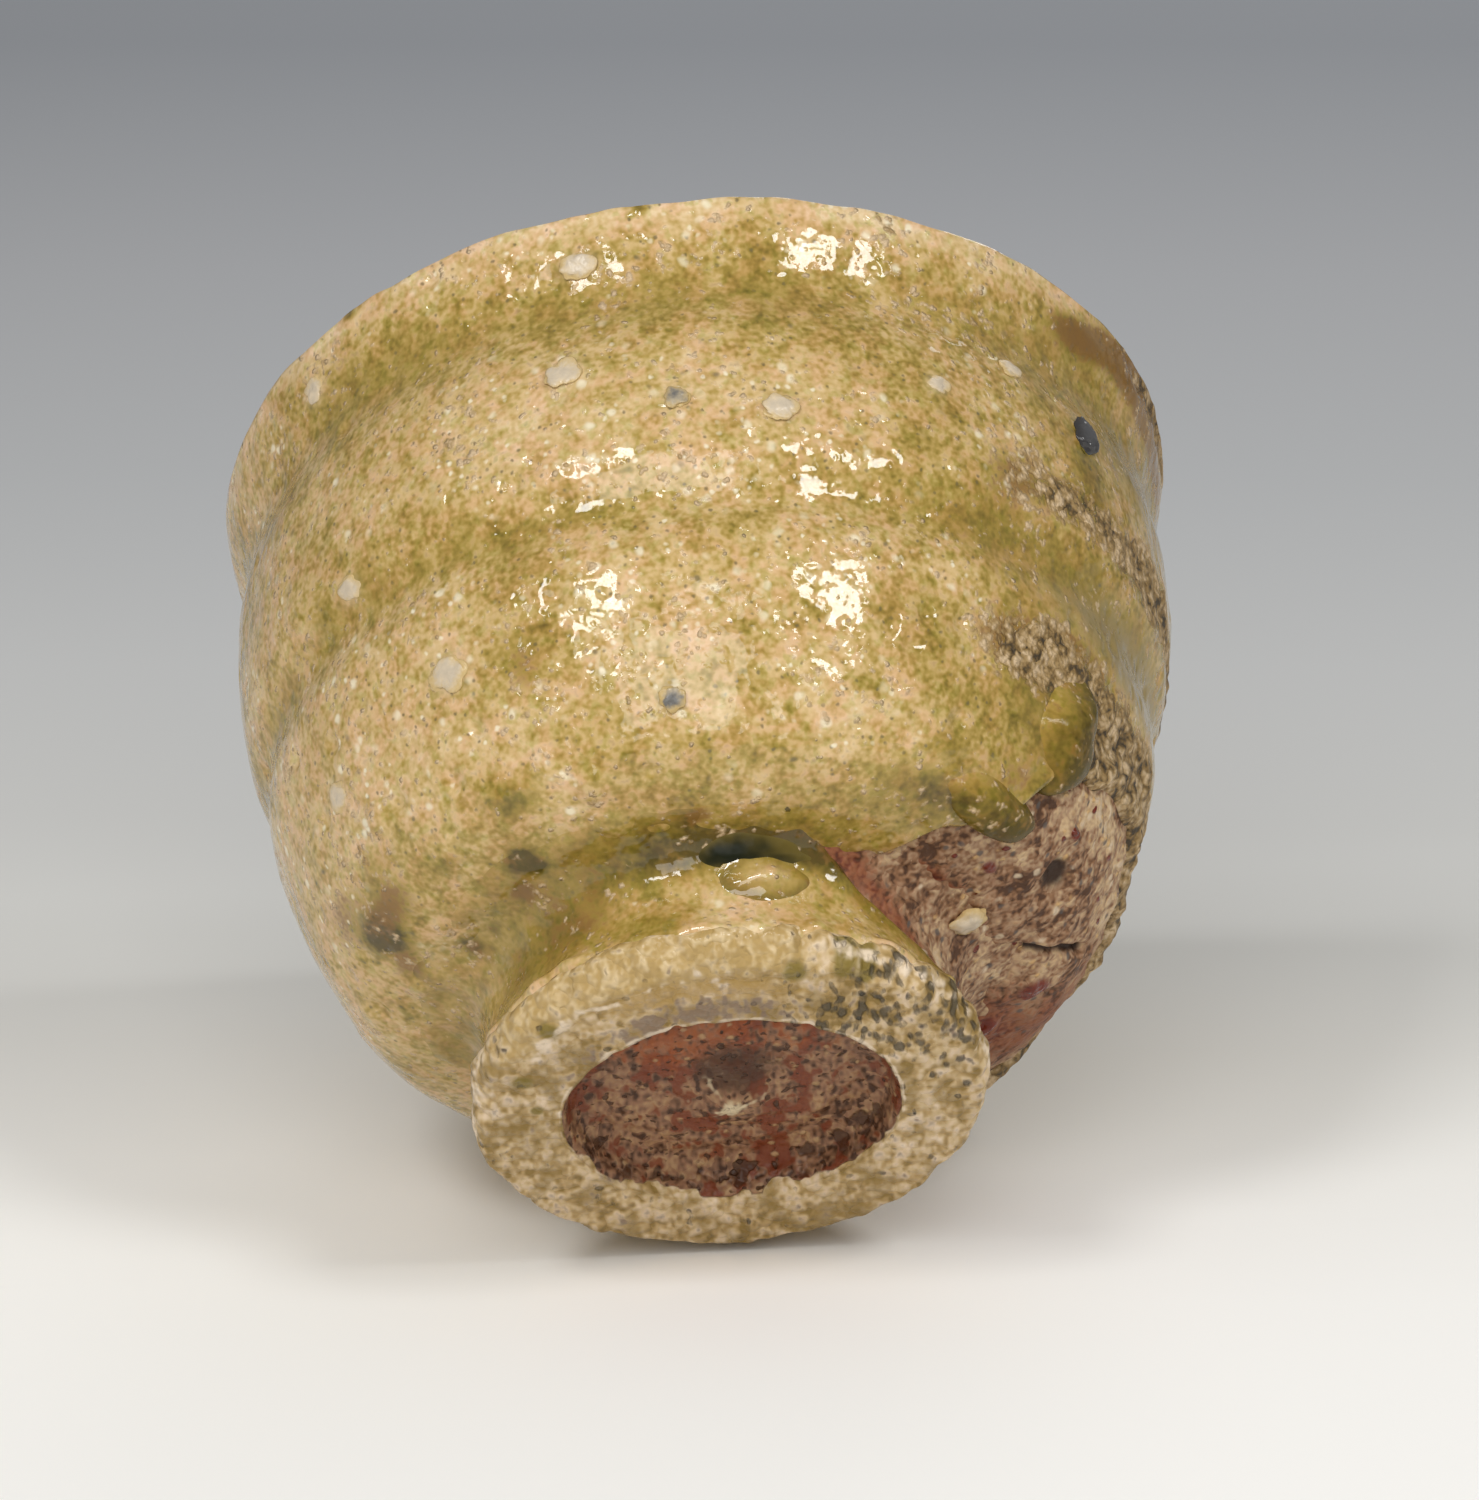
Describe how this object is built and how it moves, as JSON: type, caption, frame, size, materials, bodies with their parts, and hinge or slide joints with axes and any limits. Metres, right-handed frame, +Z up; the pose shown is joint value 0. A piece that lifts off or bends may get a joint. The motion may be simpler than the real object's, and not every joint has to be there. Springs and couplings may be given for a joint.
{
  "type": "sake cup",
  "caption": "Small ash-glazed stoneware cup for sake, with a ridged thrown wall, a high foot with a shallow recess, and a bare clay scar at one side of the foot.",
  "frame": {"origin": "on the table under the middle of the rim, at the bottom centre of the cup's box", "axes": "+Z up along the cup's axis, -Y towards the side with the glass pool under the bowl, +X towards the bare scar"},
  "size_m": [0.0639, 0.064, 0.0505],
  "materials": {
    "clay": "bare gritty stoneware, fired mauve brown",
    "foot_clay": "bare stoneware with a crust of ash on the ring and a red brown recess",
    "ash_glaze": "wet gloss ash glaze, pinkish beige to olive, with fine specks",
    "inner_ash_glaze": "wet gloss ash glaze, pooling olive in the floor",
    "foot_ash_glaze": "gloss ash glaze, olive in the hollows",
    "pool_glass": "dark green glass",
    "bead_glass": "clear pale green glass",
    "drop_glass": "thick olive glass",
    "dark_glass": "blue black glass",
    "feldspar": "translucent white feldspar"
  },
  "bodies": {
    "root": {"bowl": "clay", "foot": "foot_clay", "outer_glaze": "ash_glaze", "inner_glaze": "inner_ash_glaze", "foot_glaze": "foot_ash_glaze", "joint_pool": "pool_glass", "foot_glass_bead": "bead_glass", "glaze_drop_side": "drop_glass", "glaze_drop_low": "drop_glass", "dark_bead": "dark_glass", "feldspar_grain_01": "feldspar", "feldspar_grain_02": "feldspar", "feldspar_grain_03": "feldspar", "feldspar_grain_04": "feldspar", "feldspar_grain_05": "feldspar", "feldspar_grain_06": "feldspar", "feldspar_grain_07": "feldspar", "feldspar_grain_08": "feldspar", "feldspar_grain_09": "feldspar", "feldspar_grain_10": "feldspar", "feldspar_grain_11": "feldspar", "feldspar_grain_12": "feldspar"}
  },
  "joints": []
}
